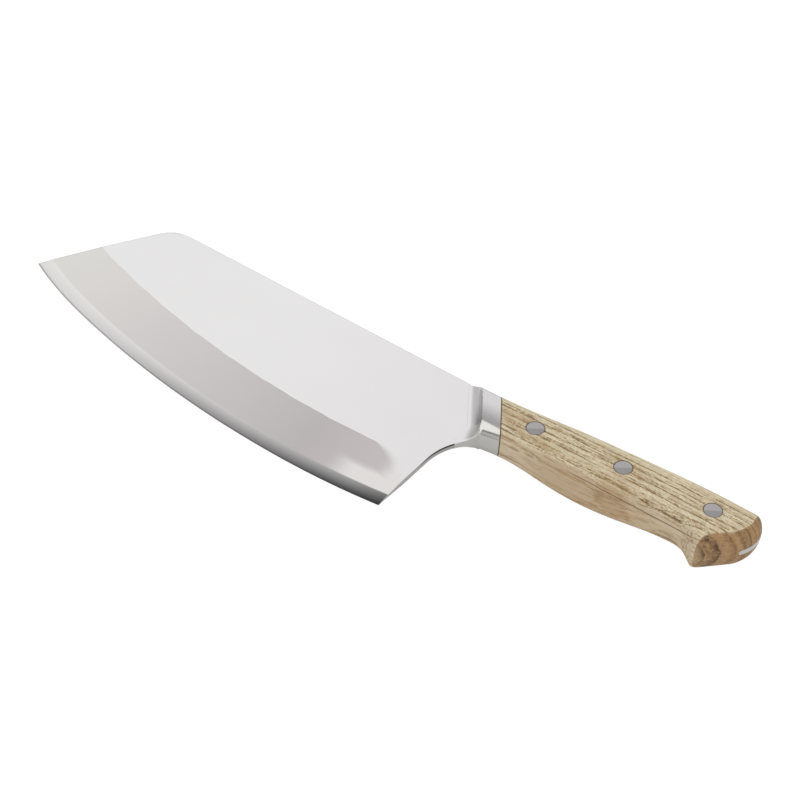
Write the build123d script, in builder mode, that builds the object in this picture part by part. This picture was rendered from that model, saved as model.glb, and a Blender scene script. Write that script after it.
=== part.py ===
from build123d import *
from math import cos, degrees, radians, sin, sqrt, tan
import os

# A cleaver with a slotted one-piece wooden handle, lying on its side.
# x runs from the tip to the butt, y from the cutting edge to the spine, and z is up.
# The origin is under the middle of the knife, on the surface that it lies on.

# Driving sizes, in millimetres and degrees
overall_length = 311.2
blade_length = 182.0
blade_depth = 79.3
blade_thickness = 2.5
handle_thickness = 19.7
handle_rise = 4.0
grip_depth = 22.6
junction_slant = 32.0

# Outline of the blade
tip_drop = 51.5
front_run = 31.0
front_corner_radius = 14.0
lowest_ahead = 38.0
knee_ahead = 150.0
knee_rise = 15.5
heel_behind = 5.6
heel_curve_radius = 322.0
choil_behind = 6.6
choil_drop = 45.0
choil_radius = 28.0
choil_turn = 42.0
shoulder_behind = 6.0

# Bevels, ground on both faces along the edge
wide_bevel = 28.6
narrow_bevel = 6.3
narrow_half = 0.6
edge_half = 0.1

# Tang, a band of the blade's own sheet that runs to the butt. Its lower edge is rounded over
# by a share of half the sheet.
window_top = 2.6
window_bottom = 20.4
tang_drop_at_butt = 11.1
tang_edge_share = 0.88

# Bolster
cove_behind = 1.8
cove_radius = 5.0
cove_lip = 0.3
wood_behind = 10.5

# Butt of the handle, and the slight swell of the grip's broad faces
butt_curve_radius = 15.5
butt_curve_turn = 44.0
butt_curve_drop = 2.8
butt_corner_radius = 13.0
butt_corner_turn = 60.0
butt_dome_radius = 14.2
crown = 0.4

# Rivets, three in a line, each a pin half driven into a sleeve half. The first one's place and
# their spacing are shares of the grip's length. The heads bear on flat seats at one height above
# and below the middle of the sheet.
rivet_count = 3
first_rivet_share = 0.2585
rivet_spacing_share = 0.2995
rivet_line_angle = 2.7
first_rivet_drop = 11.0
head_radius = 3.6
head_seat = 6.0
sleeve_radius = 2.3
pin_radius = 1.4

# How far cutters and blanks run past what they cut
overrun = 5.0

# Sections of the grip from front to back. Each has its place as a share of the grip's length,
# its half thickness as a share of the handle's, its back and belly as shares of the rise and of
# the grip's depth, and the roundings of back and belly as shares of its half thickness.
section_shares = [
    (-0.06, 0.61, -0.03, 1.20, 0.90, 0.90),
    (0.09, 0.70, -0.06, 1.10, 0.92, 0.90),
    (0.20, 0.78, 0.04, 0.985, 0.84, 0.82),
    (0.34, 0.873, 0.28, 1.00, 0.68, 0.66),
    (0.475, 0.944, 0.46, 1.00, 0.58, 0.56),
    (0.60, 0.984, 0.64, 0.90, 0.54, 0.52),
    (0.695, 0.998, 0.78, 0.80, 0.51, 0.54),
    (0.765, 1.00, 0.87, 0.77, 0.50, 0.58),
    (0.82, 0.998, 0.93, 0.84, 0.50, 0.66),
    (0.862, 0.992, 0.97, 1.05, 0.50, 0.80),
    (0.905, 0.98, 0.99, 1.22, 0.50, 0.88),
    (1.05, 0.955, 1.00, 1.26, 0.50, 0.90),
]

# Where the main lines of the knife lie
tip_x = -overall_length / 2
butt_x = overall_length / 2
bolster_x = tip_x + blade_length
grip_length = butt_x - bolster_x
spine_y = (blade_depth - handle_rise) / 2
edge_y = spine_y - blade_depth
back_y = spine_y + handle_rise
mid_z = handle_thickness / 2
blade_half = blade_thickness / 2
sheet_plane = Plane.XY.offset(mid_z)

# The junction lines slant: the further below the spine, the further back
slant = radians(junction_slant)


def junction_point(behind, drop):
    """Point of a slanted junction line that starts behind the bolster's front, at a drop."""
    return (bolster_x + behind + drop * tan(slant), spine_y - drop)


def head_seat_planes(axis):
    """Planes, facing outward, that the upper and the lower head of a rivet bear on."""
    upper = Plane(origin=axis).offset(head_seat)
    lower = Plane(origin=axis, z_dir=(0, 0, -1)).offset(head_seat)
    return upper, lower


def write(builder, label):
    """Labels a finished piece and writes it to its own file."""
    builder.part.label = label
    export_step(builder.part, f"parts/{label}.step")


os.makedirs("parts", exist_ok=True)

# The cutting edge: a heel arc, a belly arc and a tighter arc up to the tip
lowest = (bolster_x - lowest_ahead, edge_y)
knee = (bolster_x - knee_ahead, edge_y + knee_rise)
tip = (tip_x, spine_y - tip_drop)
heel_reach = lowest_ahead + heel_behind
heel_rise = heel_curve_radius - sqrt(heel_curve_radius**2 - heel_reach**2)
heel = (bolster_x + heel_behind, edge_y + heel_rise)

# Butt cutter: the bulged end of the handle, carried along the curve of the butt
dome_reach = mid_z + crown
dome_depth = butt_dome_radius - sqrt(butt_dome_radius**2 - dome_reach**2)
cutter_top = mid_z + overrun
butt_end = (butt_x, spine_y - butt_curve_drop)
with BuildPart() as butt_cutter:
    with BuildLine() as butt_curve:
        corner = JernArc(butt_end, (0, 1), butt_corner_radius, butt_corner_turn)
        Line(corner @ 1, (corner @ 1) + (corner % 1) * grip_depth)
        bend = JernArc(butt_end, (0, -1), butt_curve_radius, -butt_curve_turn)
        Line(bend @ 1, (bend @ 1) + (bend % 1) * grip_depth)
    with BuildSketch(Plane(origin=(*butt_end, mid_z), z_dir=(0, -1, 0), x_dir=(1, 0, 0))):
        with BuildLine():
            ThreePointArc((-dome_depth, -dome_reach), (0, 0), (-dome_depth, dome_reach))
            Polyline(
                (-dome_depth, dome_reach),
                (-dome_depth, cutter_top),
                (grip_depth, cutter_top),
                (grip_depth, -cutter_top),
                (-dome_depth, -cutter_top),
                (-dome_depth, -dome_reach),
            )
        make_face()
    sweep(path=butt_curve.wires()[0])

# Grip: the smooth body that the bolster and the wood are ground to together
with BuildPart() as grip:
    for place, thick, back, belly, back_round, belly_round in section_shares:
        half = thick * handle_thickness / 2
        side = half - crown
        section_back = spine_y + back * handle_rise
        section_belly = spine_y - belly * grip_depth
        middle = (section_back + section_belly) / 2
        section_x = bolster_x + place * grip_length
        with BuildSketch(Plane(origin=(section_x, 0, mid_z), x_dir=(0, 1, 0), z_dir=(1, 0, 0))):
            with BuildLine():
                ThreePointArc((section_belly, side), (middle, half), (section_back, side))
                Line((section_back, side), (section_back, -side))
                ThreePointArc((section_back, -side), (middle, -half), (section_belly, -side))
                Line((section_belly, -side), (section_belly, side))
            make_face()
            fillet(vertices().group_by(Axis.X)[-1], back_round * side)
            fillet(vertices().group_by(Axis.X)[0], belly_round * side)
    loft()
    add(butt_cutter.part, mode=Mode.SUBTRACT)

# Tang: cut from the sheet and ground flush with the wood along its back and at its butt
with BuildPart() as tang:
    with BuildSketch(sheet_plane):
        with BuildLine():
            Polyline(
                junction_point(0, window_top),
                junction_point(wood_behind, window_top),
                (bolster_x + wood_behind, back_y + overrun),
                (butt_x + overrun, back_y + overrun),
                (butt_x + overrun, spine_y - tang_drop_at_butt),
                junction_point(wood_behind, window_bottom),
                junction_point(0, window_bottom),
                close=True,
            )
        make_face()
    extrude(amount=blade_half, both=True)
    fillet(tang.edges().filter_by(Plane.XY).group_by(Axis.Y)[0], tang_edge_share * blade_half)
    add(grip.part, mode=Mode.INTERSECT)

# Grinding cutter for the upper side of both bevels, carried along the edge to past the heel
heel_sweep = degrees((heel_reach + overrun * 2) / heel_curve_radius)
with BuildPart() as bevel_cutter:
    with BuildLine() as grind_line:
        belly = TangentArc(lowest, knee, tangent=(-1, 0))
        TangentArc(knee, tip, tangent=belly % 1)
        JernArc(lowest, (1, 0), heel_curve_radius, heel_sweep)
    with BuildSketch(Plane(origin=(*lowest, mid_z), x_dir=(0, 1, 0), z_dir=(1, 0, 0))):
        with BuildLine():
            Polyline(
                (-overrun, edge_half),
                (0, edge_half),
                (narrow_bevel, narrow_half),
                (wide_bevel, blade_half),
                (wide_bevel, blade_half + overrun),
                (-overrun, blade_half + overrun),
                close=True,
            )
        make_face()
    sweep(path=grind_line.wires()[0])

# Rivet places along the middle of the handle
first_rivet_x = bolster_x + first_rivet_share * grip_length
rivet_spacing = rivet_spacing_share * grip_length
rivet_axes = [
    (
        first_rivet_x + index * rivet_spacing * cos(radians(rivet_line_angle)),
        spine_y - first_rivet_drop + index * rivet_spacing * sin(radians(rivet_line_angle)),
        mid_z,
    )
    for index in range(rivet_count)
]

# Blade and tang, one sheet, with its rivet holes
with BuildPart() as blade:
    with BuildSketch(sheet_plane):
        front_corner = (tip_x + front_run, spine_y)
        shoulder_top = junction_point(shoulder_behind, 0)
        shoulder_foot = junction_point(shoulder_behind, window_bottom)
        choil_start = Vector(bolster_x + choil_behind, spine_y - choil_drop)
        with BuildLine():
            Polyline(tip, front_corner, shoulder_top, shoulder_foot)
            choil = JernArc(choil_start, choil_start - Vector(*heel), choil_radius, -choil_turn)
            Line(shoulder_foot, choil @ 1)
            Line(choil @ 0, heel)
            TangentArc(lowest, heel, tangent=(1, 0))
            belly = TangentArc(lowest, knee, tangent=(-1, 0))
            TangentArc(knee, tip, tangent=belly % 1)
        plate = make_face()
        fillet(plate.vertices().sort_by_distance(front_corner)[0], front_corner_radius)
    extrude(amount=blade_half, both=True)
    add(bevel_cutter.part, mode=Mode.SUBTRACT)
    add(mirror(bevel_cutter.part, about=sheet_plane), mode=Mode.SUBTRACT)
    add(tang.part)
    with Locations(*rivet_axes):
        Cylinder(sleeve_radius, handle_thickness, mode=Mode.SUBTRACT)

# Plane of the spine, plane of the wood's front end, and the cove's profile plane, square to the
# junction lines
spine_plane = Plane(origin=(0, spine_y, mid_z), x_dir=(0, 0, 1), z_dir=(0, 1, 0))
wood_plane = Plane(
    origin=(*junction_point(wood_behind, 0), mid_z),
    x_dir=(0, 0, 1),
    z_dir=(cos(slant), sin(slant), 0),
)
cove_plane = Plane(
    origin=(*junction_point(cove_behind, 0), mid_z),
    x_dir=(cos(slant), sin(slant), 0),
    z_dir=(sin(slant), -cos(slant), 0),
)

# Cove cutter: hollows one side of the bolster down to a thin lip on the blade's face
cove_foot = blade_half + cove_lip
with BuildPart() as cove_cutter:
    with BuildSketch(cove_plane):
        with BuildLine():
            RadiusArc((-cove_radius, cove_foot), (0, cove_foot + cove_radius), cove_radius)
            Polyline(
                (0, cove_foot + cove_radius),
                (0, cutter_top),
                (-grip_length, cutter_top),
                (-grip_length, 0),
                (-cove_radius, 0),
                (-cove_radius, cove_foot),
            )
        make_face()
    extrude(amount=grip_depth * 2, both=True)

# Bolster: a collar round the tang, forked at its front over both faces of the blade and ground
# level with the spine
with BuildPart() as bolster:
    add(grip.part)
    split(bisect_by=wood_plane, keep=Keep.BOTTOM)
    split(bisect_by=spine_plane, keep=Keep.BOTTOM)
    add(cove_cutter.part, mode=Mode.SUBTRACT)
    add(mirror(cove_cutter.part, about=sheet_plane), mode=Mode.SUBTRACT)
    add(blade.part, mode=Mode.SUBTRACT)

# Handle: one piece of wood, slotted from the back for the tang and bored for the rivets
with BuildPart() as handle:
    add(grip.part)
    split(bisect_by=wood_plane, keep=Keep.TOP)
    add(blade.part, mode=Mode.SUBTRACT)
    with Locations(*rivet_axes):
        Cylinder(sleeve_radius, handle_thickness, mode=Mode.SUBTRACT)
    for axis in rivet_axes:
        for seat_plane in head_seat_planes(axis):
            with BuildSketch(seat_plane):
                Circle(head_radius)
            extrude(amount=handle_thickness, mode=Mode.SUBTRACT)

# Rivet halves: heads flush with the wood, the pin driven into the sleeve inside the tang's hole
rivet_halves = []
for axis in rivet_axes:
    upper_seat_plane, lower_seat_plane = head_seat_planes(axis)
    with BuildPart() as sleeve:
        with BuildSketch(upper_seat_plane):
            Circle(head_radius)
        extrude(amount=handle_thickness)
        with BuildSketch(upper_seat_plane):
            Circle(sleeve_radius)
        extrude(amount=-head_seat * 2)
        with BuildSketch(upper_seat_plane):
            Circle(pin_radius)
        extrude(amount=-head_seat * 2, mode=Mode.SUBTRACT)
        add(grip.part, mode=Mode.INTERSECT)
    with BuildPart() as pin:
        with BuildSketch(lower_seat_plane):
            Circle(head_radius)
        extrude(amount=handle_thickness)
        with BuildSketch(lower_seat_plane):
            Circle(pin_radius)
        extrude(amount=-head_seat * 2)
        add(grip.part, mode=Mode.INTERSECT)
    rivet_halves.append((sleeve, pin))

for label, piece in (("blade", blade), ("bolster", bolster), ("handle", handle)):
    write(piece, label)
for number, (sleeve, pin) in enumerate(rivet_halves, start=1):
    write(sleeve, f"rivet_{number}_sleeve")
    write(pin, f"rivet_{number}_pin")
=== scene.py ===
import math

import bmesh
import bpy
import numpy as np
from mathutils import Matrix, Vector


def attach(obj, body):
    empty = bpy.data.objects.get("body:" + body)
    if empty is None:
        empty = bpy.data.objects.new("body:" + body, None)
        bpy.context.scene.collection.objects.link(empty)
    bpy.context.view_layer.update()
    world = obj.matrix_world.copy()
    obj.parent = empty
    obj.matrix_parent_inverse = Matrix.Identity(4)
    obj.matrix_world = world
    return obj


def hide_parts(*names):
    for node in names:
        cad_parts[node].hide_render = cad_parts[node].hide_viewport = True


bpy.context.scene.view_settings.view_transform = "Standard"
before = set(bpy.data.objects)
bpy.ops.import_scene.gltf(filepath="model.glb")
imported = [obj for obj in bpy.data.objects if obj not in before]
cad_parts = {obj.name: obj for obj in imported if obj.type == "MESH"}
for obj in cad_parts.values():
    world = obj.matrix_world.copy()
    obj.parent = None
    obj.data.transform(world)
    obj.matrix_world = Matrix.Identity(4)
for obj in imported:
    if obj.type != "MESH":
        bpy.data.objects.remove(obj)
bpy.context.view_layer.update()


# Camera. A long lens looks down at the knife from beside the belly of the blade, turned a
# little about its own line of sight, at the photograph's angle of view.
view_azimuth, view_elevation, view_roll = np.radians([30.86, 43.65, 5.67])
looked_at = np.array([0.0056, 0.01365, 0.00985])
view_distance = 1.1
to_camera = np.array([
    math.sin(view_azimuth) * math.cos(view_elevation),
    -math.cos(view_azimuth) * math.cos(view_elevation),
    math.sin(view_elevation),
])
level_right = np.array([math.cos(view_azimuth), math.sin(view_azimuth), 0.0])
level_up = np.cross(to_camera, level_right)
picture_right = math.cos(view_roll) * level_right + math.sin(view_roll) * level_up
picture_up = math.cos(view_roll) * level_up - math.sin(view_roll) * level_right
camera = bpy.data.objects.new("camera", bpy.data.cameras.new("camera"))
camera.data.lens = 126.0
camera.data.sensor_width = 36.0
camera.data.clip_end = 20.0
camera.matrix_world = Matrix.Translation(looked_at + view_distance * to_camera) @ Matrix(
    np.stack([picture_right, picture_up, to_camera], axis=1).tolist()
).to_4x4()
bpy.context.scene.collection.objects.link(camera)
bpy.context.scene.camera = camera


# Table and light. A plain white table under a white surround, and three soft lamps that light
# the knife but that its steel doesn't mirror: what shines in the steel is the surround.
class Flow:
    """An output socket that adds Math nodes when it is used in an expression."""

    def __init__(self, paint, socket):
        self.paint, self.socket = paint, socket

    def _math(self, operation, *values):
        return self.paint.node("ShaderNodeMath", {"operation": operation}, dict(enumerate(values)))

    def __add__(self, other):
        return self._math("ADD", self, other)

    def __radd__(self, other):
        return self._math("ADD", other, self)

    def __sub__(self, other):
        return self._math("SUBTRACT", self, other)

    def __rsub__(self, other):
        return self._math("SUBTRACT", other, self)

    def __mul__(self, other):
        return self._math("MULTIPLY", self, other)

    def __rmul__(self, other):
        return self._math("MULTIPLY", other, self)

    def __truediv__(self, other):
        return self._math("DIVIDE", self, other)

    def __rtruediv__(self, other):
        return self._math("DIVIDE", other, self)

    def __pow__(self, other):
        return self._math("POWER", self, other)

    def __abs__(self):
        return self._math("ABSOLUTE", self)

    def least(self, other):
        return self._math("MINIMUM", self, other)

    def most(self, other):
        return self._math("MAXIMUM", self, other)

    def root(self):
        return self._math("SQRT", self.most(0.0))

    def fraction(self):
        return self._math("FRACT", self)

    def ease(self, low, high):
        """Rises smoothly from 0 at low to 1 at high; low may be the larger."""
        settings = {"interpolation_type": "SMOOTHSTEP", "clamp": True}
        if low > high:
            return 1.0 - self.ease(high, low)
        return self.paint.node("ShaderNodeMapRange", settings, {"Value": self, 1: low, 2: high})


class Paint:
    """A node tree under construction: node() adds any node, settings first, then its sockets."""

    def __init__(self, tree):
        self.tree = tree
        tree.nodes.clear()

    def node(self, kind, settings=None, sockets=None, output=0):
        added = self.tree.nodes.new(kind)
        for name, value in (settings or {}).items():
            if name == "stops":
                ramp = added.color_ramp
                while len(ramp.elements) < len(value):
                    ramp.elements.new(1.0)
                for element, (place, colour) in zip(ramp.elements, value):
                    element.position = place
                    element.color = (*colour, 1.0)
            else:
                setattr(added, name, value)
        for name, value in (sockets or {}).items():
            if isinstance(value, Flow):
                self.tree.links.new(value.socket, added.inputs[name])
            else:
                added.inputs[name].default_value = value
        return Flow(self, added.outputs[output])

    def mix(self, factor, first, second, how="MIX"):
        settings = {"data_type": "RGBA", "blend_type": how}
        return self.node("ShaderNodeMix", settings, {0: factor, 6: first, 7: second}, output=2)

    def parts(self, vector):
        """The three numbers of a vector."""
        split = self.node("ShaderNodeSeparateXYZ", sockets={0: vector}).socket.node
        return [Flow(self, split.outputs[axis]) for axis in range(3)]

    def noise(self, vector, sizes, detail=3.0, rough=0.5):
        """Noise whose features have the given sizes along x, y and z, in metres."""
        scaled = self.node(
            "ShaderNodeVectorMath", {"operation": "DIVIDE"}, {0: vector, 1: tuple(sizes)}
        )
        return self.node("ShaderNodeTexNoise", sockets={
            "Vector": scaled, "Scale": 1.0, "Detail": detail, "Roughness": rough,
        })


world = bpy.data.worlds.new("surround")
world.use_nodes = True
bpy.context.scene.world = world
sky = Paint(world.node_tree)
ray_kinds = sky.node("ShaderNodeLightPath").socket.node.outputs
plainly_seen = Flow(sky, ray_kinds["Is Camera Ray"]) + Flow(sky, ray_kinds["Is Transmission Ray"])
mirrored = Flow(sky, ray_kinds["Is Glossy Ray"])
toward = sky.parts(sky.node("ShaderNodeTexCoord", output=0))
# Steel mirrors the white sweep behind the knife and overhead, a dark gap in front of it and the
# dimmer room on the camera's side: strength against how far a mirrored line points to the back
mirror = sky.node("ShaderNodeValToRGB", {"stops": [
    (0.0, (0.50, 0.50, 0.50)), (0.06, (0.52, 0.52, 0.52)), (0.085, (0.18, 0.18, 0.18)),
    (0.115, (0.20, 0.20, 0.20)), (0.16, (1.0, 1.0, 1.0)), (0.62, (1.0, 1.0, 1.0)),
    (0.68, (0.92, 0.92, 0.92)), (1.0, (0.92, 0.92, 0.92)),
]}, {0: 0.5 + 0.5 * toward[1]})
beyond_tip = toward[0].ease(-0.52, -0.82)
mirror = 1.1 * mirror * (1.0 - 0.36 * beyond_tip)
room_light = 0.58
strength = room_light + (1.0 - room_light) * plainly_seen + mirrored * (mirror - room_light)
surround = sky.node(
    "ShaderNodeBackground", sockets={"Color": (1.0, 1.0, 1.0, 1.0), "Strength": strength}
)
world_end = sky.tree.nodes.new("ShaderNodeOutputWorld")
sky.tree.links.new(surround.socket, world_end.inputs["Surface"])


def lamp(name, place, aim, width, power):
    """A square soft lamp at a place, facing a point, that no mirror shows."""
    data = bpy.data.lights.new(name, "AREA")
    data.size = width
    data.energy = power
    made = bpy.data.objects.new(name, data)
    made.visible_glossy = False
    facing = (Vector(aim) - Vector(place)).to_track_quat("-Z", "Y")
    made.matrix_world = Matrix.Translation(place) @ facing.to_matrix().to_4x4()
    bpy.context.scene.collection.objects.link(made)


lamp("key_lamp", place=(0.8, 0.7, 1.5), aim=(0.0, 0.0, 0.0), width=1.4, power=6.5)
lamp("fill_lamp", place=(0.75, -1.6, 0.8), aim=(0.0, 0.0, 0.0), width=1.2, power=5.0)
lamp("top_lamp", place=(-0.50, -0.17, 1.2), aim=(0.03, 0.0, 0.0), width=0.34, power=0.55)


def new_material(name):
    """An empty node material and its tree under construction."""
    material = bpy.data.materials.new(name)
    material.use_nodes = True
    return material, Paint(material.node_tree)


def finish_material(paint, shader):
    """Joins the shader to the material's output."""
    end = paint.tree.nodes.new("ShaderNodeOutputMaterial")
    paint.tree.links.new(shader.socket, end.inputs["Surface"])


def mesh_object(name, points, faces, material):
    """A smooth-shaded mesh object at the origin from an array of points and one of quads."""
    mesh = bpy.data.meshes.new(name)
    mesh.from_pydata(points.tolist(), [], faces.tolist())
    mesh.update()
    mesh.polygons.foreach_set("use_smooth", np.ones(len(mesh.polygons), bool))
    made = bpy.data.objects.new(name, mesh)
    bpy.context.scene.collection.objects.link(made)
    mesh.materials.append(material)
    return made


def grid_faces(rows, columns, around=False):
    """Quads of a grid of points stored row by row; around joins the last column to the first."""
    last_column = columns if around else columns - 1
    row, column = np.meshgrid(np.arange(rows - 1), np.arange(last_column), indexing="ij")
    following = (column + 1) % columns
    corners = [row * columns + column, row * columns + following]
    corners += [(row + 1) * columns + following, (row + 1) * columns + column]
    return np.stack(corners, axis=-1).reshape(-1, 4)


# Looked at, most of the table's white is its own, and the rest is what keeps the knife's shadow
table_white, paint = new_material("table_white")
table_kinds = paint.node("ShaderNodeLightPath").socket.node.outputs
table_seen = Flow(paint, table_kinds["Is Camera Ray"])
table_seen = table_seen + 0.3 * Flow(paint, table_kinds["Is Glossy Ray"])
plain = paint.node("ShaderNodeBsdfDiffuse", sockets={"Color": (0.9, 0.9, 0.9, 1.0)})
lit = paint.node("ShaderNodeEmission", sockets={"Color": (1.0, 1.0, 1.0, 1.0), "Strength": 1.13})
shown = paint.node("ShaderNodeMixShader", sockets={0: table_seen * 0.84, 1: plain, 2: lit})
finish_material(paint, shown)
table_half, table_lines = 6.0, 25
across = np.linspace(-table_half, table_half, table_lines)
table_x, table_y = np.meshgrid(across, across)
table_points = np.stack([table_x, table_y, np.zeros_like(table_x)], axis=-1).reshape(-1, 3)
table = mesh_object("table", table_points, grid_faces(table_lines, table_lines), table_white)


# Blade. One sheet of satin steel, 2.5 mm thick, with a wide and a narrow bevel ground on each
# side of the cutting edge. The wide bevel runs out in a curve at the heel, and the sheet goes on
# under the bolster, whose front slants back from the spine.
middle_z, sheet_half = 0.00985, 0.00125
spine_y = 0.03765
bolster_x, slant = 0.0264, math.radians(32.0)
edge_arcs = (
    # centre x, centre y, radius, tilt of the inward normal at the arc's start and end
    (-0.072886, 0.153565, 0.186736, math.radians(26.2915), math.radians(15.7582)),
    (-0.0116, 0.370745, 0.412395, math.radians(15.7582), 0.0),
    (-0.0116, 0.28035, 0.322, 0.0, math.radians(-7.7809)),
)


def inward_normal(tilt):
    """Unit vectors that lean from straight up by the given tilts, towards the butt."""
    return np.stack([np.sin(tilt), np.cos(tilt)], axis=-1)


def inside_edge(length, depth):
    """Plan points at a depth inside the cutting edge: along each arc in turn the inward normal
    turns with the length from the tip, and the point lies radius minus depth from the centre."""
    point = np.zeros(np.shape(length) + (2,))
    start = 0.0
    for centre_x, centre_y, radius, first, last in edge_arcs:
        end = start + radius * (first - last)
        here = (length >= start) if start > 0 else np.ones_like(length, bool)
        tilt = first - (length - start) / radius
        reached = np.array([centre_x, centre_y]) - (radius - depth)[..., None] * inward_normal(tilt)
        point = np.where(here[..., None], reached, point)
        start = end
    return point


edge_length = sum(radius * (first - last) for _, _, radius, first, last in edge_arcs)
tip = np.array([-0.155598, -0.01385])
heel = inside_edge(np.array(edge_length), np.array(0.0))
front_corner = np.array([-0.1246, spine_y])
corner_radius = 0.014
choil_foot = np.array([0.033, -0.00735])
shoulder_foot = np.array([0.045147, 0.01725])
shoulder_top = np.array([0.0324, spine_y])


def unit(vector):
    """The vector scaled to a length of one."""
    return vector / np.linalg.norm(vector)


def cross(first, second):
    """Area of the parallelogram of two plan vectors, positive when the second lies to the left."""
    return first[..., 0] * second[..., 1] - first[..., 1] * second[..., 0]


def crossing(depth, foot, rise, low, high):
    """Lengths along the edge at which the curves at these depths meet the straight line from foot
    along rise, found by halving the span between low and high forty times."""
    low, high = np.full_like(depth, low), np.full_like(depth, high)
    sign = np.sign(cross(rise, inside_edge(low, depth) - foot))
    for _ in range(40):
        middle = (low + high) / 2
        same = np.sign(cross(rise, inside_edge(middle, depth) - foot)) == sign
        low, high = np.where(same, middle, low), np.where(same, high, middle)
    return (low + high) / 2


def resample(points, shares):
    """Points at the given shares of the length of a line of points."""
    steps = np.linalg.norm(np.diff(points, axis=0), axis=1)
    along = np.concatenate([[0.0], np.cumsum(steps)]) / steps.sum()
    return np.stack([np.interp(shares, along, points[:, axis]) for axis in (0, 1)], axis=-1)


def turned_arc(start, heading, radius, turn, count=40):
    """Points of an arc from start: it leaves along heading and turns left by turn (right where
    negative) about a centre that lies a radius to that side."""
    side = math.copysign(1.0, turn)
    centre = start + side * radius * np.array([-heading[1], heading[0]])
    angle = np.linspace(0.0, turn, count)[:, None]
    arm = start - centre
    return centre + np.cos(angle) * arm + np.sin(angle) * np.array([-arm[1], arm[0]])


columns = 300
share = np.linspace(0.0, 1.0, columns)
narrow_width, wide_width = 0.0063, 0.0286
# The wide bevel narrows a little toward the tip, and over the last ninth of the edge, where the
# wheel left the heel. Ground by hand, its line wavers by a tenth of a millimetre.
at_tip = np.clip((0.12 - share) / 0.12, 0.0, 1.0)
at_heel = np.clip((share - 0.885) / 0.115, 0.0, 1.0)
bevel_width = wide_width - 0.0128 * at_heel**1.55 - 0.0012 * at_tip
bevel_width += 0.00010 * np.sin(61 * share + 1.3)
bevel_width += 0.00007 * np.sin(149 * share) * np.sin(23 * share)
# Rows of points at these depths inside the edge; the bevels meet within a crease
crease = 0.00012
narrow_rows = np.array([0.0, 0.0021, 0.0042, narrow_width - crease])[:, None] + 0.0 * share
wide_rows = np.linspace(0.0, 1.0, 10)[:, None]
wide_rows = (narrow_width + crease) * (1 - wide_rows) + (bevel_width - crease) * wide_rows
depth = np.concatenate([narrow_rows, wide_rows, [bevel_width + crease]])
slope_rise = unit(front_corner - tip)
choil_rise = unit(choil_foot - heel)
ends = depth[:, [0, -1]]
first_length = crossing(ends[:, 0], tip, slope_rise, -0.02, 0.06)
last_length = crossing(ends[:, 1], heel, choil_rise, edge_length - 0.03, edge_length + 0.02)
length = first_length[:, None] * (1 - share) + last_length[:, None] * share
bevel_plan = inside_edge(length, depth)

# The face above the bevels lies between four lines: the bevel's, the front up to the middle of
# its rounded corner, the spine from there, and the choil up to the shoulder under the bolster
corner_turn = math.acos(slope_rise[0])
corner_start = front_corner - corner_radius * math.tan(corner_turn / 2) * slope_rise
corner_arc = turned_arc(corner_start, slope_rise, corner_radius, -corner_turn, 41)
foot_line = bevel_plan[-1]
front_line = np.concatenate([[foot_line[0]], corner_arc[:21]])
spine_line = np.concatenate([corner_arc[20:], [shoulder_top]])
choil_arc = turned_arc(choil_foot, choil_rise, 0.028, math.radians(-42.0))
choil_line = np.concatenate([[foot_line[-1]], choil_arc, [shoulder_foot], [shoulder_top]])
upper_rows = 44
rise = np.linspace(0.0, 1.0, upper_rows)
front_side, choil_side = resample(front_line, rise), resample(choil_line, rise)
spine_side = resample(spine_line, share)
# Each inner point blends the four sides: bottom and top by its rise, front and back by its share,
# less the same blend of the four corners
lifted, along = rise[:, None, None], share[None, :, None]
face_plan = (1 - lifted) * foot_line[None] + lifted * spine_side[None]
face_plan += (1 - along) * front_side[:, None] + along * choil_side[:, None]
face_plan -= (1 - lifted) * ((1 - along) * foot_line[0] + along * foot_line[-1])
face_plan -= lifted * ((1 - along) * spine_side[0] + along * spine_side[-1])
plan = np.concatenate([bevel_plan, face_plan[1:]])
# Half thickness at the edge and where the bevels meet
edge_half, narrow_half = 0.00008, 0.0006
bevel_half = np.where(
    depth < narrow_width,
    edge_half + (narrow_half - edge_half) * depth / narrow_width,
    narrow_half
    + (sheet_half - narrow_half) * (depth - narrow_width) / (bevel_width - narrow_width),
)
face_half = np.full((upper_rows - 1, columns), sheet_half)
half = np.concatenate([np.minimum(bevel_half, sheet_half), face_half])
# What the grinder knows of each point: its length along the edge, its depth inside the edge and
# that depth as a share of the wide bevel's
face_rise = 0.052
along_edge = np.concatenate([length, np.broadcast_to(length[-1], (upper_rows - 1, columns))])
from_edge = np.concatenate([depth, depth[-1] + face_rise * rise[1:, None]])
ground = np.stack([along_edge, from_edge, from_edge / bevel_width], axis=-1)


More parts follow.
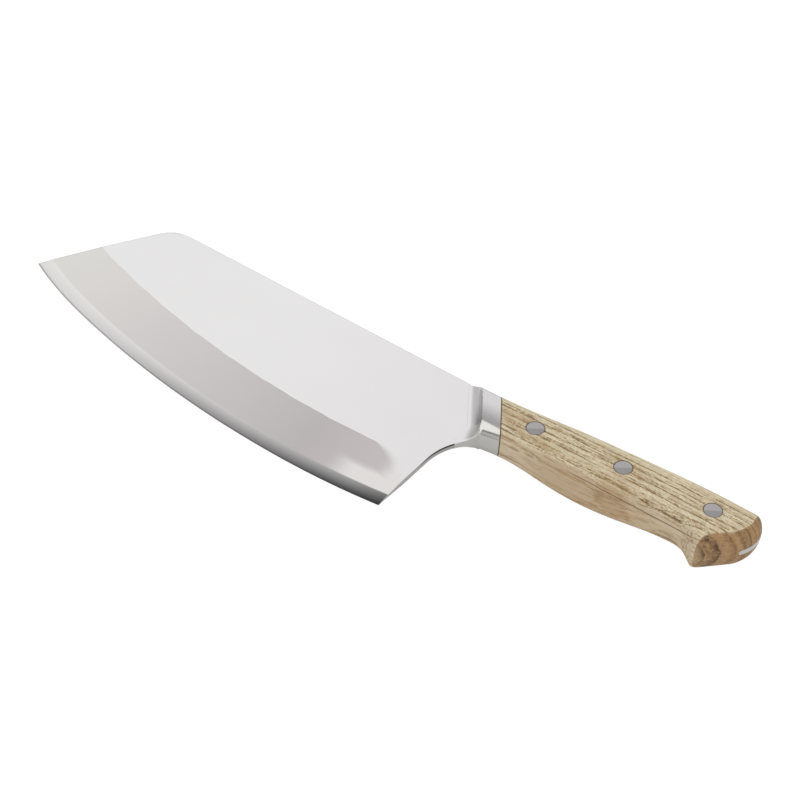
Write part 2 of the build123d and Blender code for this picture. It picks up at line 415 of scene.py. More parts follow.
def eased_sheet(name, plan, half, ease, ground, material):
    """A closed sheet from a grid of plan points and its half thickness: the grid above and below
    the middle plane, and a wall whose upper and lower corners are quarter circles of the ease.
    The ground attribute goes with the points, and the wall takes that of the rim."""
    rows, columns = plan.shape[:2]
    index = np.arange(rows * columns).reshape(rows, columns)
    rim = np.concatenate([index[0], index[1:, -1], index[-1, -2::-1], index[-2:0:-1, 0]])
    outline = plan.reshape(-1, 2)[rim]
    lead = np.roll(outline, -1, axis=0) - np.roll(outline, 1, axis=0)
    outward = np.stack([lead[:, 1], -lead[:, 0]], axis=-1)
    outward /= np.maximum(np.linalg.norm(outward, axis=1, keepdims=True), 1e-12)
    rim_half = half.reshape(-1)[rim]
    rim_ease = np.minimum(ease, 0.7 * rim_half)
    inner = plan.reshape(-1, 2).copy()
    inner[rim] -= outward * rim_ease[:, None]
    flat = half.reshape(-1, 1)
    above = np.concatenate([inner, middle_z + flat], axis=1)
    below = np.concatenate([inner, middle_z - flat], axis=1)
    points, rings = [above, below], [rim]
    count = 2 * rows * columns
    for side, turns in ((1, (0.5, 0.8, 1.0)), (-1, (1.0, 0.8, 0.5))):
        for turn in turns:
            angle = turn * math.pi / 2
            reach = outline + outward * (rim_ease * (math.sin(angle) - 1))[:, None]
            level = side * (rim_half - rim_ease * (1 - math.cos(angle)))
            points.append(np.concatenate([reach, middle_z + level[:, None]], axis=1))
            rings.append(count + np.arange(len(rim)))
            count += len(rim)
    rings.append(rim + rows * columns)
    top = grid_faces(rows, columns)
    faces = [top, top[:, ::-1] + rows * columns]
    for upper, lower in zip(rings[:-1], rings[1:]):
        faces.append(np.stack([upper, lower, np.roll(lower, -1), np.roll(upper, -1)], axis=-1))
    made = mesh_object(name, np.concatenate(points), np.concatenate(faces), material)
    ground = ground.reshape(-1, 3)
    values = np.concatenate([ground, ground] + [ground[rim]] * 6)
    attribute = made.data.attributes.new("ground", "FLOAT_VECTOR", "POINT")
    attribute.data.foreach_set("vector", values.ravel())
    return made


blade_steel, paint = new_material("blade_steel")
place = paint.node("ShaderNodeTexCoord", output=3)
blade_x, blade_y, blade_z = paint.parts(place)
ground_at = paint.node("ShaderNodeAttribute", {"attribute_name": "ground"}, output=1)
along_blade, inside, bevel_share = paint.parts(ground_at)
heelward = along_blade / edge_length
wheel_lines = paint.noise(ground_at, (0.00022, 0.009, 1.0), 4.0, 0.6)
belt_lines = paint.noise(place, (0.00030, 0.012, 1.0), 4.0, 0.6)
cloud = paint.noise(place, (0.03, 0.02, 1.0), 2.0)
# Painted reflection: the wide bevel is painted darker from the tip to the heel
wide_bevel_reflection = paint.node("ShaderNodeValToRGB", {"stops": [
    (0.0, (0.695, 0.685, 0.66)), (0.15, (0.68, 0.655, 0.635)), (0.32, (0.62, 0.60, 0.595)),
    (0.60, (0.545, 0.52, 0.518)), (0.78, (0.485, 0.46, 0.455)), (0.93, (0.53, 0.50, 0.495)),
]}, {0: heelward})
# The narrow bevel's painted reflection darkens the same way, and more so down at its cutting edge
narrow_reflection_top = paint.node("ShaderNodeValToRGB", {"stops": [
    (0.0, (0.77, 0.76, 0.745)), (0.17, (0.76, 0.745, 0.74)), (0.31, (0.72, 0.695, 0.70)),
    (0.45, (0.66, 0.635, 0.635)), (0.59, (0.59, 0.565, 0.57)), (0.73, (0.49, 0.48, 0.48)),
    (0.92, (0.36, 0.355, 0.355)), (1.0, (0.20, 0.20, 0.20)),
]}, {0: heelward})
narrow_reflection_foot = paint.node("ShaderNodeValToRGB", {"stops": [
    (0.0, (0.72, 0.71, 0.70)), (0.17, (0.63, 0.615, 0.615)), (0.31, (0.54, 0.525, 0.53)),
    (0.45, (0.37, 0.36, 0.36)), (0.59, (0.25, 0.245, 0.245)), (0.73, (0.15, 0.145, 0.145)),
    (0.88, (0.05, 0.048, 0.048)), (1.0, (0.02, 0.02, 0.02)),
]}, {0: heelward})
lift = (inside / narrow_width).least(1.0)
narrow_bevel_reflection = paint.mix(lift, narrow_reflection_foot, narrow_reflection_top)
# A dark hairline at the very edge, but not on the tang, whose ground attribute is all zeros
hairline = lift.ease(0.14, 0.03) * along_blade.ease(0.0, 0.001)
narrow_bevel_reflection = paint.mix(hairline * 0.5, narrow_bevel_reflection, (0.06, 0.06, 0.065, 1.0))
# A soft bright patch of painted reflection at the heel end of the wide bevel, where the wheel ran
# out
wavy_inside = inside + 0.012 * (cloud - 0.5)
runout_patch = heelward.ease(0.845, 0.915) * wavy_inside.ease(0.0170, 0.0120)
runout_patch = runout_patch.most((heelward + 0.1 * (cloud - 0.5)).ease(0.945, 0.99))
wide_bevel_reflection = paint.mix(runout_patch, wide_bevel_reflection, (0.735, 0.71, 0.70, 1.0))
tone = paint.mix((inside - narrow_width).ease(-0.00045, 0.00045), narrow_bevel_reflection, wide_bevel_reflection)
# The flat face is one pale tone; the bevel's line against it softens at the heel
face_tone = paint.mix(
    blade_x.ease(-0.06, 0.03), (0.79, 0.78, 0.78, 1.0), (0.755, 0.735, 0.742, 1.0)
)
softness = 0.006 + 0.16 * heelward.ease(0.90, 0.99)
on_face = ((bevel_share - 1.0) / softness).ease(-1.0, 1.0)
tone = paint.mix(on_face, tone, face_tone)
# Painted shade: the wall of the heel and choil is painted a dull grey, darkest in its upper corner
facing_up = abs(paint.parts(paint.node("ShaderNodeNewGeometry", output=1))[2])
wall = facing_up.ease(0.985, 0.93) * (inside - 0.0003).ease(0.0, 0.002)
upper_corner_shade = blade_z.ease(middle_z + 0.0003, middle_z + 0.0008) * blade_y.ease(-0.016, -0.002)
wall_painted_shade = paint.mix(upper_corner_shade, (0.42, 0.405, 0.405, 1.0), (0.06, 0.055, 0.06, 1.0))
tone = paint.mix(wall, tone, wall_painted_shade)
# The tang's end is sanded with the wood, and looks duller and warmer than the blade
tone = paint.mix(0.8 * blade_x.ease(0.148, 0.152), tone, (0.56, 0.525, 0.485, 1.0))
lines = wheel_lines + (belt_lines - wheel_lines) * on_face - 0.5
shade = 1.0 + 0.05 * lines + 0.03 * (cloud - 0.5)
shaded = {"operation": "SCALE"}
tone = paint.node("ShaderNodeVectorMath", shaded, {0: tone, "Scale": shade})
finish_material(paint, paint.node("ShaderNodeBsdfPrincipled", sockets={
    "Base Color": tone,
    "Metallic": 1.0,
    "Roughness": 0.17 + 0.10 * lines,
}))
rim_softening = 0.00025
blade_sheet = eased_sheet("blade_sheet", plan, half, rim_softening, ground, blade_steel)
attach(blade_sheet, "root")
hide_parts("blade")


# Grip surface. Bolster, wood and rivet heads are ground together to one smooth contoured body:
# rounded sections along the grip, and a domed butt that follows a bent line.
grip_length, grip_half = 0.1292, 0.00985
back_rise, back_limit, belly_drop, face_crown = 0.004, 0.00395, 0.0226, 0.0004
collar_length = 0.0105
# At each share of the grip's length: its thickness, back and belly as shares of the sizes above,
# then how round the corners of the back and the belly are
section_shares = np.array([
    (-0.06, 0.61, -0.03, 1.20, 0.90, 0.90),
    (0.09, 0.70, -0.06, 1.10, 0.92, 0.90),
    (0.20, 0.78, 0.04, 0.985, 0.84, 0.82),
    (0.34, 0.873, 0.28, 1.00, 0.68, 0.66),
    (0.475, 0.944, 0.46, 1.00, 0.58, 0.56),
    (0.60, 0.984, 0.64, 0.90, 0.54, 0.52),
    (0.695, 0.998, 0.78, 0.80, 0.51, 0.54),
    (0.765, 1.00, 0.87, 0.77, 0.50, 0.58),
    (0.82, 0.998, 0.93, 0.84, 0.50, 0.66),
    (0.862, 0.992, 0.97, 1.05, 0.50, 0.80),
    (0.905, 0.98, 0.99, 1.22, 0.50, 0.88),
    (1.05, 0.955, 1.00, 1.26, 0.50, 0.90),
])


def smooth_through(places, values, where):
    """Cubic curve through values at places, straight at both ends: its second differences solve
    one set of linear equations, and each span is a cubic between its two ends."""
    gap = np.diff(places)
    count = len(places)
    system = np.eye(count)
    bend = np.zeros((count,) + values.shape[1:])
    inner = np.arange(1, count - 1)
    system[inner, inner - 1] = gap[:-1]
    system[inner, inner] = 2 * (gap[:-1] + gap[1:])
    system[inner, inner + 1] = gap[1:]
    climb = np.diff(values, axis=0) / gap[:, None]
    bend[1:-1] = 6 * np.diff(climb, axis=0)
    second = np.linalg.solve(system, bend)
    span = np.clip(np.searchsorted(places, where) - 1, 0, count - 2)
    wide = gap[span][..., None]
    before = (where - places[span])[..., None]
    after = wide - before
    first_part = (second[span] * after**3 + second[span + 1] * before**3) / (6 * wide)
    second_part = (values[span] / wide - second[span] * wide / 6) * after
    third_part = (values[span + 1] / wide - second[span + 1] * wide / 6) * before
    return first_part + second_part + third_part


def grip_section(along, turn):
    """Points (y, z) of the grip's outline at x along, where turn runs once round from the middle
    of the back over the upper face to the belly and back under. A quarter of it is a straight
    back, an arc over the back's corner, the crowned face, the belly's corner and its straight."""
    where = (along - bolster_x) / grip_length
    sizes = smooth_through(section_shares[:, 0], section_shares[:, 1:], where)
    thick, back, belly, back_round, belly_round = np.moveaxis(sizes, -1, 0)
    half = thick * grip_half
    side = half - face_crown
    high = spine_y + np.minimum(back * back_rise, back_limit)
    low = spine_y - belly * belly_drop
    centre, reach = (high + low) / 2, (high - low) / 2
    crown_radius = (reach**2 + face_crown**2) / (2 * face_crown)
    crown_z = half - crown_radius
    high_radius, low_radius = back_round * side, belly_round * side
    high_y, low_y = high - high_radius, low + low_radius
    high_z = crown_z + np.sqrt((crown_radius - high_radius) ** 2 - (high_y - centre) ** 2)
    low_z = crown_z + np.sqrt((crown_radius - low_radius) ** 2 - (low_y - centre) ** 2)
    high_lean = np.arctan2(high_y - centre, high_z - crown_z)
    low_lean = np.arctan2(low_y - centre, low_z - crown_z)
    folded = np.abs((turn + 1.0) % 2.0 - 1.0)
    stops = (0.0, 0.10, 0.36, 0.64, 0.90, 1.0)
    within = [np.clip((folded - a) / (b - a), 0.0, 1.0) for a, b in zip(stops[:-1], stops[1:])]
    high_angle = np.pi / 2 - within[1] * (np.pi / 2 - high_lean)
    face_lean = high_lean + (low_lean - high_lean) * within[2]
    low_angle = low_lean - within[3] * (np.pi / 2 + low_lean)
    y = np.where(folded < stops[1], high, high_y + high_radius * np.sin(high_angle))
    z = np.where(folded < stops[1], within[0] * high_z, high_z + high_radius * np.cos(high_angle))
    on_face = folded >= stops[2]
    y = np.where(on_face, centre + crown_radius * np.sin(face_lean), y)
    z = np.where(on_face, crown_z + crown_radius * np.cos(face_lean), z)
    on_low = folded >= stops[3]
    y = np.where(on_low, low_y + low_radius * np.sin(low_angle), y)
    z = np.where(on_low, low_z + low_radius * np.cos(low_angle), z)
    on_belly = folded >= stops[4]
    y = np.where(on_belly, low, y)
    z = np.where(on_belly, (1 - within[4]) * low_z, z)
    return y, np.where(turn % 2.0 > 1.0, -z, z)


# The butt's plan line: from one level, an arc up over the corner and an arc down the bend
butt_level, dome_radius = 0.03485, 0.0142
over_x, over_radius, over_turn = 0.1426, 0.013, math.radians(60.0)
under_x, under_radius, under_turn = 0.1401, 0.0155, math.radians(44.0)


def butt_reach(y, z):
    """How far back the domed butt lies at (y, z): its plan is an arc up over the corner and an
    arc down the bend, each going on straight, all moved in by the depth of the dome at z."""
    inset = dome_radius - np.sqrt(np.maximum(dome_radius**2 - z**2, 1e-9))
    rise = y - butt_level
    corner, bend = over_radius - inset, under_radius - inset
    corner_top, bend_foot = corner * math.sin(over_turn), -bend * math.sin(under_turn)
    over = over_x + np.sqrt(np.maximum(corner**2 - np.clip(rise, 0.0, corner_top) ** 2, 0.0))
    over -= np.maximum(rise - corner_top, 0.0) * math.tan(over_turn)
    under = under_x + np.sqrt(np.maximum(bend**2 - np.clip(rise, bend_foot, 0.0) ** 2, 0.0))
    under += np.minimum(rise - bend_foot, 0.0) * math.tan(under_turn)
    return np.where(rise > 0.0, over, under)


def junction_reach(behind, y):
    """How far back a slanted junction line lies at y when it starts behind the bolster's front."""
    return bolster_x + behind + (spine_y - y) * math.tan(slant)


def settled(reach, turn, guess):
    """Where lines along the grip meet a surface that depends on their own y and z: the place is
    worked out again and again until it rests."""
    along = np.full_like(turn, guess)
    for _ in range(40):
        y, z = grip_section(along, turn)
        along = reach(y, z)
    return along


sharp_angle = math.radians(35.0)


def closed_mesh(name, points, faces, material):
    """A mesh object whose doubles are merged, normals turned outward and sharp edges marked."""
    made = mesh_object(name, points, faces, material)
    work = bmesh.new()
    work.from_mesh(made.data)
    bmesh.ops.remove_doubles(work, verts=work.verts, dist=1e-7)
    bmesh.ops.dissolve_degenerate(work, edges=work.edges, dist=1e-8)
    bmesh.ops.recalc_face_normals(work, faces=work.faces)
    work.to_mesh(made.data)
    work.free()
    made.data.polygons.foreach_set("use_smooth", np.ones(len(made.data.polygons), bool))
    made.data.set_sharp_from_angle(angle=sharp_angle)
    return made


def ringed_mesh(name, rings, material):
    """A closed mesh from rings of points, each joined round and to the next."""
    faces = grid_faces(rings.shape[0], rings.shape[1], around=True)
    return closed_mesh(name, rings.reshape(-1, 3), faces, material)


def cut_away(body, cutter):
    """Takes the cutter's space out of the body for good and deletes the cutter."""
    cut = body.modifiers.new("cut", "BOOLEAN")
    cut.operation, cut.solver, cut.object = "DIFFERENCE", "EXACT", cutter
    graph = bpy.context.evaluated_depsgraph_get()
    result = bpy.data.meshes.new_from_object(body.evaluated_get(graph))
    body.modifiers.clear()
    body.data = result
    bpy.data.objects.remove(cutter)


# Wood. One block of light ring-porous wood with straight grain, shaped round, sanded and oiled.
# Its end grain shows at the domed butt, whose rim is eased over.
ash_wood, paint = new_material("ash_wood")
place = paint.node("ShaderNodeTexCoord", output=3)
x, y, z = paint.parts(place)
sway = paint.noise(place, (0.085, 0.016, 0.016), 2.0) - 0.5
ripple = paint.noise(place, (0.030, 0.0035, 0.0035), 2.0) - 0.5
# The growth rings are flattened circles round a pith below the grip, and sway along it
pith_y, pith_z, wood_reach = 0.0088, 0.0096, 0.034
from_pith = ((y - pith_y) ** 2.0 + 0.4 * (z - pith_z) ** 2.0).root()
from_pith = from_pith + 0.0030 * sway + 0.0010 * ripple
# Distance from the pith at which each of the ten years begins
year_starts = (
    0.0, 0.0026, 0.0070, 0.0113, 0.0157, 0.0190, 0.0222, 0.0249, 0.0276, 0.0302, wood_reach,
)
years = paint.node("ShaderNodeValToRGB", {"stops": [
    (radius / wood_reach, (number / 10.0,) * 3) for number, radius in enumerate(year_starts)
]}, {0: from_pith / wood_reach})
rings = 10.0 * years
year = rings.fraction()
by_year = paint.node("ShaderNodeCombineXYZ", sockets={0: rings})
year_strength = paint.noise(by_year, (0.7, 1.0, 1.0), 2.0)
# Fibre and longer streaks run along the grain, and ticks, flecks and pores break them up
broken = paint.noise(place, (0.0045, 0.0014, 0.0014), 3.0, 0.6)
fibre = paint.noise(place, (0.010, 0.00040, 0.00040), 4.0, 0.65) - 0.5
streak = paint.noise(place, (0.040, 0.0011, 0.0011), 3.0, 0.6) - 0.5
tick = paint.noise(place, (0.0015, 0.00045, 0.00045), 2.0, 0.6)
fleck = paint.noise(place, (0.00055, 0.0014, 0.0014), 2.0, 0.6)
pores = paint.noise(place, (0.0022, 0.00024, 0.00024), 1.0, 0.5).ease(0.53, 0.60)
blotch = paint.noise(place, (0.030, 0.009, 0.009), 2.0)
tint = paint.noise(place, (0.040, 0.0040, 0.0040), 2.0)
# A year opens with a dark band of pores and has a fainter one halfway
start = (1.0 - year) ** 3.2 * year.ease(0.0, 0.07)
early = start * (0.45 + 1.1 * year_strength)
second = (1.0 - abs(year - 0.55) * 8.0).most(0.0) * 0.40
# The wood is paler along the back and plainer along the belly, below a line round its corner
low_line = 0.743 * y + 0.669 * z
back_light = (y - 0.0378 - 0.038 * (x - 0.05)).ease(-0.0060, -0.0028)
belly = (low_line + 0.003 * sway).ease(0.0262, 0.0232)
lines_broken = 0.35 + 1.1 * broken.ease(0.34, 0.58)
plain_part = (1.0 - 0.6 * back_light) * (1.0 - 0.45 * belly)
dark = (early + second) * 0.85 * lines_broken * (1.0 - 0.25 * belly)
dark = dark + (2.0 + 2.2 * belly) * streak + 1.7 * fibre
dark = dark + 1.2 * (tick - 0.5) * plain_part + 1.1 * (fleck - 0.5) * plain_part
dark = (dark - 0.05 + 0.06 * belly) * (1.0 - 0.35 * back_light) - 0.15 * back_light
face_tone = paint.node("ShaderNodeValToRGB", {"stops": [
    (0.0, (0.83, 0.725, 0.52)), (0.25, (0.70, 0.565, 0.35)), (0.6, (0.39, 0.265, 0.12)),
    (1.0, (0.15, 0.09, 0.035)),
]}, {0: dark.most(0.0)})
ticks = pores * (0.35 + 0.65 * start.least(1.0)) * plain_part
face_tone = paint.mix(0.78 * ticks, face_tone, (0.16, 0.10, 0.045, 1.0))
face_tone = paint.mix(belly * 0.45, face_tone, (0.63, 0.475, 0.325, 1.0))
orange = blotch.ease(0.50, 0.66) * 0.42 + 0.40 * belly * x.ease(0.058, 0.075) * x.ease(0.128, 0.10)
face_tone = paint.mix(orange.least(0.6), face_tone, (0.45, 0.28, 0.13, 1.0))
face_tone = paint.mix(tint.ease(0.52, 0.70) * 0.22, face_tone, (0.50, 0.40, 0.17, 1.0))
# How dark the end grain is against the distance from the pith: each year ends in a dark band
end_years = paint.node("ShaderNodeValToRGB", {"stops": [
    (radius / wood_reach, (darkness,) * 3) for radius, darkness in (
        (0.0, 0.05), (0.0042, 0.05), (0.0058, 0.55), (0.0069, 0.95), (0.0073, 0.30),
        (0.0090, 0.42), (0.0106, 0.75), (0.0111, 0.90), (0.0116, 0.22), (0.0138, 0.15),
        (0.0154, 0.42), (0.0158, 0.55), (0.0163, 0.20), (0.0176, 0.10), (0.0188, 0.50),
        (0.0192, 0.60), (0.0200, 0.34), (0.0214, 0.35), (0.0222, 0.70), (0.0228, 0.18),
        (0.0244, 0.20), (0.0250, 0.50), (0.0256, 0.20), (0.0270, 0.25), (0.0276, 0.65),
        (0.0282, 0.25), (0.0302, 0.55), (wood_reach, 0.35),
    )
]}, {0: from_pith / wood_reach})
spots = paint.noise(place, (0.002, 0.0011, 0.0011), 4.0, 0.7)
patches = paint.noise(place, (0.004, 0.0034, 0.0034), 1.0)
near_pith = from_pith.ease(0.0116, 0.0108)
end_dark = end_years + (1.0 + 0.9 * near_pith) * (spots - 0.5) + 1.6 * near_pith * (patches - 0.5)
end_dark = end_dark + 0.8 * fibre + 0.02
end_tone = paint.node("ShaderNodeValToRGB", {"stops": [
    (0.0, (0.50, 0.315, 0.15)), (0.45, (0.32, 0.18, 0.074)), (1.0, (0.09, 0.046, 0.018)),
]}, {0: end_dark.most(0.0)})
# Painted highlight: the end grain is painted paler along its belly side and its lower side, where
# the dome rounds over to the rim
rim_painted_highlight = (y.ease(0.0162, 0.0138) + z.ease(0.0040, 0.0010)).least(1.0)
end_tone = paint.mix(0.6 * rim_painted_highlight, end_tone, (0.56, 0.40, 0.22, 1.0))
end_tone = paint.mix(0.5 * pores * (0.3 + 0.7 * near_pith), end_tone, (0.05, 0.028, 0.012, 1.0))
end_grain = paint.parts(paint.node("ShaderNodeNewGeometry", output=1))[0].ease(0.42, 0.60)
tone = paint.mix(end_grain, face_tone, end_tone)
# A fine drying crack along the lower edge of the face
from_crack = low_line - 0.02283 + 0.0008 * ripple
crack = (0.35 + 1.1 * broken).least(1.0) * abs(from_crack).ease(0.00026, 0.00007)
crack = crack * x.ease(0.078, 0.088) * x.ease(0.142, 0.134)
tone = paint.mix(0.92 * crack * (1.0 - end_grain), tone, (0.11, 0.05, 0.018, 1.0))
# Thin dark lines of glue and shadow at the bolster, round the heads and along the tang
slot_x, slot_y, slot_slope = 0.0497, 0.01725, 0.0838
slot_low = (x - slot_x) * slot_slope + slot_y
beside_tang = abs(abs(z - middle_z) - 0.00133).ease(0.00022, 0.00006)
beside_tang = beside_tang * (y - slot_low).ease(-0.0001, 0.0002)
from_collar = (x - bolster_x - collar_length) * math.cos(slant) + (y - spine_y) * math.sin(slant)
seams = beside_tang.most(from_collar.ease(0.00062, 0.00035))
# The rivets stand evenly on a line that leans a little from the spine's
line_angle = math.radians(2.7)
rivet_axes = []
for number in range(3):
    run = number * 0.2995 * grip_length
    rivet_axes.append((
        bolster_x + 0.2585 * grip_length + run * math.cos(line_angle),
        spine_y - 0.011 + run * math.sin(line_angle),
    ))
for axis_x, axis_y in rivet_axes:
    from_axis = ((x - axis_x) ** 2.0 + (y - axis_y) ** 2.0).root()
    seams = seams.most(from_axis.ease(0.00410, 0.00375))
tone = paint.mix(0.85 * seams, tone, (0.06, 0.04, 0.025, 1.0))
finish_material(paint, paint.node("ShaderNodeBsdfPrincipled", sockets={
    "Base Color": tone,
    "Roughness": 0.55 + 0.3 * fibre + 0.1 * pores,
    "Normal": paint.node("ShaderNodeBump", sockets={
        "Strength": 0.4, "Distance": 0.00012, "Height": fibre - pores,
    }),
}))
# Rings round the grip from the slanted front to the butt, closer together at both ends
around = 2.0 * np.arange(192) / 192
wood_start = settled(lambda y, z: junction_reach(collar_length, y), around, 0.04)
wood_end = settled(butt_reach, around, 0.15)
rim_ease = 0.0009
lengthwise = np.linspace(0.0, 1.0, 190)
lengthwise = lengthwise + 0.06 * np.sin(2 * np.pi * lengthwise) / (2 * np.pi)
side_x = wood_start + lengthwise[:, None] * (wood_end - rim_ease - wood_start)
side_turn = np.broadcast_to(around, side_x.shape)
side_y, side_z = grip_section(side_x, side_turn)
side = np.stack([side_x, side_y, side_z + middle_z], axis=-1)
# The dome: rings drawn in to its middle, joined to the side by a curve over the rim
rim_y, rim_z = grip_section(wood_end, around)
pole_y = rim_y.mean()
shrink = np.linspace(1.0, 0.0, 34)[:, None]
spread = np.hypot(rim_y - pole_y, rim_z)
shrink = shrink * (1 - rim_ease / spread)
cap_y, cap_z = pole_y + shrink * (rim_y - pole_y), shrink * rim_z
cap = np.stack([butt_reach(cap_y, cap_z), cap_y, cap_z + middle_z], axis=-1)
rim = np.stack([wood_end, rim_y, rim_z + middle_z], axis=-1)
bend = np.linspace(0.0, 1.0, 7)[1:-1, None, None]
eased = (1 - bend) ** 2 * side[-1] + 2 * bend * (1 - bend) * rim + bend**2 * cap[0]
front_y, front_z = side_y[0], side_z[0]
inward = np.linspace(0.0, 1.0, 16)[:-1, None]
front_plan_y = front_y.mean() + inward * (front_y - front_y.mean())
front_x = junction_reach(collar_length, front_plan_y)
front = np.stack([front_x, front_plan_y, inward * front_z + middle_z], axis=-1)
wood = ringed_mesh("handle_wood", np.concatenate([front, side, eased, cap]), ash_wood)
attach(wood, "root")
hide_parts("handle")


# Tang. The blade's own sheet goes on through the slotted wood and shows as a bright strip along
# the back and, with a rounded inner end, at the butt.
tang_round, tang_drop_front, tang_drop_butt, tang_end_x = 0.0011, 0.0204, 0.0111, 0.1606


def tang_block(over):
    """Points of the tang as a block of lengths, heights and widths. Heights run from its slanted
    lower line up to the back of the grip, widths narrow at the rounded lower edge, and over is
    how far it stands out of the wood."""
    lengths = np.linspace(0.0, 1.0, 150)[:, None, None]
    rounded = tang_round * (1 - np.cos(np.linspace(0.0, np.pi / 2, 7)))
    heights = np.concatenate([rounded, np.full(14, tang_round)])[None, :, None]
    climb = np.concatenate([np.zeros(7), np.linspace(0.0, 1.0, 15)[1:]])[None, :, None]
    start_y, end_y = spine_y - tang_drop_front, spine_y - tang_drop_butt
    start_x = junction_reach(collar_length, start_y)
    widths = np.linspace(-1.0, 1.0, 7)
    x = bolster_x + collar_length + lengths * (0.12 + np.zeros((1, 21, 7)))
    for _ in range(30):
        along = np.clip((x - start_x) / (tang_end_x - start_x), -1.0, 1.0)
        low = start_y + along * (end_y - start_y)
        high = grip_section(x, np.zeros_like(x))[0] + over
        lift = heights + climb * (high - low - tang_round)
        y = low + lift
        bow = np.sqrt(np.maximum(tang_round**2 - (tang_round - lift) ** 2, 0))
        half = np.where(lift < tang_round, bow + (sheet_half - tang_round), sheet_half)
        z = widths[None, None, :] * half
        first = junction_reach(collar_length, y)
        last = butt_reach(y - over, z) + over
        x = first + lengths * (last - first)
    return np.stack([x, y, z + middle_z], axis=-1)


def block_shell(block):
    """Outer points and faces of a block of points: the six sides of its grid."""
    index = np.arange(block[..., 0].size).reshape(block.shape[:3])
    sides = [index[0], index[-1], index[:, 0], index[:, -1], index[:, :, 0], index[:, :, -1]]
    faces = np.concatenate([s.reshape(-1)[grid_faces(*s.shape)] for s in sides])
    used, renumbered = np.unique(faces, return_inverse=True)
    return block.reshape(-1, 3)[used], renumbered.reshape(-1, 4)


tang = closed_mesh("tang", *block_shell(tang_block(0.0)), blade_steel)
tang_space = closed_mesh("tang_space", *block_shell(tang_block(0.0012)), blade_steel)
cut_away(wood, tang_space)
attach(tang, "root")
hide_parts("blade")


# Rivets. Each is a pin half driven into a sleeve half, of satin steel, with flat round heads that
# are ground flush with the wood.
rivet_steel, paint = new_material("rivet_steel")
x, y, z = paint.parts(paint.node("ShaderNodeTexCoord", output=3))
# Painted reflection: every head is painted lighter above a line that slants through its axis, and
# darker below it
pitch = rivet_axes[1][0] - rivet_axes[0][0]
beside_axis = (((x - rivet_axes[0][0]) / pitch + 0.5).fraction() - 0.5) * pitch
axis_line = rivet_axes[0][1] + (x - beside_axis - rivet_axes[0][0]) * math.tan(line_angle)
above_reflection_line = y - axis_line - 0.73 * beside_axis
tone = paint.mix(
    above_reflection_line.ease(-0.0006, -0.0001), (0.29, 0.28, 0.28, 1.0), (0.385, 0.37, 0.365, 1.0)
)
finish_material(paint, paint.node("ShaderNodeBsdfPrincipled", sockets={
    "Base Color": tone,
    "Metallic": 1.0,
    "Roughness": 0.22,
}))
head_radius, head_seat, head_ease, bore_gap = 0.0036, 0.006, 0.00018, 0.00003
circle = np.linspace(0.0, 2 * np.pi, 73)[:-1]


def face_height(x, y):
    """Height of the grip's crowned upper face above the middle plane at plan points."""
    where = (x - bolster_x) / grip_length
    sizes = smooth_through(section_shares[:, 0], section_shares[:, 1:4], where)
    thick, back, belly = np.moveaxis(sizes, -1, 0)
    high, low = spine_y + back * back_rise, spine_y - belly * belly_drop
    crown_radius = (((high - low) / 2) ** 2 + face_crown**2) / (2 * face_crown)
    from_middle = y - (high + low) / 2
    return thick * grip_half - crown_radius + np.sqrt(crown_radius**2 - from_middle**2)


def lathe_on(axis, radii, levels):
    """Rings about an upright axis: one circle of points for each radius and level."""
    x = axis[0] + radii[:, None] * np.cos(circle)
    y = axis[1] + radii[:, None] * np.sin(circle)
    return np.stack([x, y, levels + np.zeros_like(x)], axis=-1)


def rivet_half(name, axis, side, shank_radius, hole_radius):
    """A head, its eased rim, its seat and a shank: rings from the middle of the face outward, down
    the rim, in along the seat and down the shank; a sleeve half goes on up its hole."""
    face_radii = np.linspace(0.0, head_radius - head_ease, 12)
    rings = [lathe_on(axis, face_radii, 0.0)]
    rings[0][..., 2] = face_height(rings[0][..., 0], rings[0][..., 1])
    rim = rings[0][-1:, :, 2]
    turn = np.linspace(0.0, np.pi / 2, 5)[1:, None]
    rim_radii = head_radius - head_ease * (1 - np.sin(turn[:, 0]))
    rings.append(lathe_on(axis, rim_radii, rim - head_ease * (1 - np.cos(turn))))
    rings.append(lathe_on(axis, np.array([head_radius, shank_radius]), head_seat))
    foot = -head_seat + 0.0001
    rings.append(lathe_on(axis, np.array([shank_radius, hole_radius]), foot))
    if hole_radius > 0.0:
        rings.append(lathe_on(axis, np.array([hole_radius, 0.0]), head_seat - 0.0001))
    rings = np.concatenate(rings)
    rings[..., 2] = middle_z + side * rings[..., 2]
    return ringed_mesh(name, rings, rivet_steel)


for number, axis in enumerate(rivet_axes):
    for side in (1, -1):
        bore_radii = np.array([0.0, head_radius + bore_gap, head_radius + bore_gap, 0.0])
        bore_levels = middle_z + side * np.array([0.015, 0.015, head_seat, head_seat])[:, None]
        bore = lathe_on(axis, bore_radii, bore_levels)
        cut_away(wood, ringed_mesh("bore", bore, ash_wood))
    for kind, side, shank, hole in (("sleeve", 1, 0.0023, 0.0014), ("pin", -1, 0.00139, 0.0)):
        name = f"rivet_{number + 1}_{kind}"
        half_rivet = rivet_half(name + "_half", axis, side, shank, hole)
        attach(half_rivet, "root")
        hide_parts(name)
wood.data.set_sharp_from_angle(angle=sharp_angle)


# Bolster. A polished steel collar at the junction, forked over the blade, with a hollow cove in
# its front, ground to the wood's own outline.
bolster_steel, paint = new_material("bolster_steel")
place = paint.node("ShaderNodeTexCoord", output=3)
x, y, z = paint.parts(place)
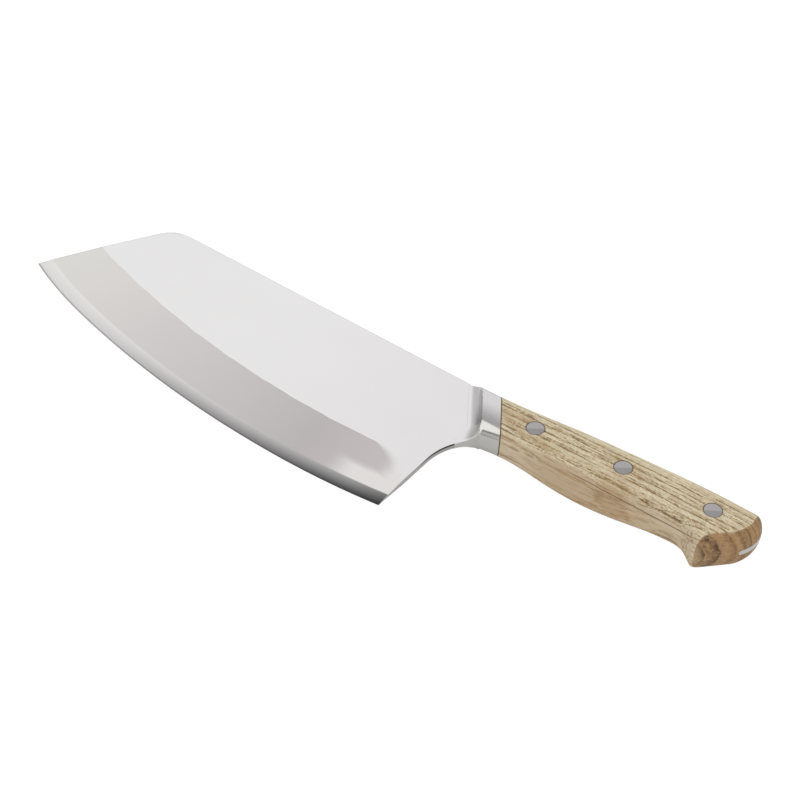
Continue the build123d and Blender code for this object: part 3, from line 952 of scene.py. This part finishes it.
# Painted reflection: the steel is painted darker down the face, and meets the blade's own tone at
# the foot of the cove
painted_reflection_down_face = y.ease(0.030, 0.0185)
tone = paint.mix(painted_reflection_down_face, (0.66, 0.645, 0.65, 1.0), (0.33, 0.32, 0.325, 1.0))
# Painted highlight and shade: near the belly a bright band where the face rounds over, and the
# belly below it painted darker
belly_highlight_and_shade = paint.mix(
    (z - middle_z).ease(0.0044, 0.0039), (0.72, 0.71, 0.67, 1.0), (0.56, 0.55, 0.525, 1.0)
)
tone = paint.mix(y.ease(0.0190, 0.0180), tone, belly_highlight_and_shade)
facing_up = abs(paint.parts(paint.node("ShaderNodeNewGeometry", output=1))[2]).ease(0.55, 0.85)
at_foot = abs(z - middle_z).ease(0.0030, 0.0015) * facing_up
tone = paint.mix(at_foot, tone, (0.755, 0.735, 0.742, 1.0))
lines = paint.noise(place, (0.00025, 0.006, 0.006), 3.0, 0.6) - 0.5
finish_material(paint, paint.node("ShaderNodeBsdfPrincipled", sockets={
    "Base Color": tone,
    "Metallic": 1.0,
    "Roughness": 0.16 + 0.08 * lines,
}))
cove_radius, cove_behind, cove_foot = 0.005, 0.0018, 0.001249
cove_front = cove_behind - cove_radius / math.cos(slant)


def cove_height(behind):
    """Half thickness that the cove leaves: a quarter circle that rises from the blade's face up to
    its top edge, against the distance square to the slanted lines."""
    from_foot = (behind - cove_behind) * math.cos(slant) + cove_radius
    from_foot = np.clip(from_foot, 0.0, cove_radius)
    return cove_foot + cove_radius - np.sqrt(cove_radius**2 - from_foot**2)


def collar_ring(behind):
    """The grip's outline along one slanted line, its thickness softly held under the cove."""
    forward = (cove_behind - behind) / (cove_behind - cove_front) if behind < cove_behind else 0.0

    def slanted_line(y, z):
        near_choil = np.clip((0.0185 - y) / 0.0055, 0.0, 1.0)
        near_choil = near_choil**2 * (3 - 2 * near_choil)
        return junction_reach(behind - 0.0012 * forward * near_choil, y)

    x = settled(slanted_line, around, 0.03 + behind)
    y, z = grip_section(x, around)
    # The belly's front follows the curve of the choil
    belly_y = grip_section(x, np.ones_like(x))[0]
    choil_y = np.interp(x, *np.concatenate([choil_arc, [shoulder_foot]]).T)
    near_belly = np.clip((belly_y + 0.006 - y) / 0.006, 0.0, 1.0)
    y = y + np.minimum(choil_y - 0.00012 - belly_y, 0.0) * near_belly**2 * (3 - 2 * near_belly)
    if behind < cove_behind:
        height, blend = cove_height(behind), 0.0004
        gap = np.abs(z) - height
        held = height + 0.5 * (gap - np.sqrt(gap**2 + blend**2)) + 0.25 * blend
        z = np.sign(z) * np.clip(held, 0.0, np.abs(z))
    return np.stack([x, y, z + middle_z], axis=-1)


# Rings crowd together toward the cove's upper edge, and then run evenly back to the wood
quarter = np.sin(np.linspace(0.0, np.pi / 2, 40))
behinds = np.concatenate([
    cove_front + quarter * (cove_behind - cove_front) - 1e-9,
    np.linspace(cove_behind + 0.0003, collar_length, 24),
])
collar_rings = np.array([collar_ring(behind) for behind in behinds])
closing = np.linspace(0.0, 1.0, 8)[:-1, None, None]
ends = []
for ring, order in ((collar_rings[0], closing), (collar_rings[-1], closing[::-1])):
    middle = np.array([0.0, ring[:, 1].mean(), middle_z])
    middle[0] = ring[:, 0].mean()
    ends.append(middle + order * (ring - middle))
collar_points = np.concatenate([ends[0], collar_rings, ends[1]])
collar = ringed_mesh("bolster_collar", collar_points, bolster_steel)
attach(collar, "root")
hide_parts("bolster")
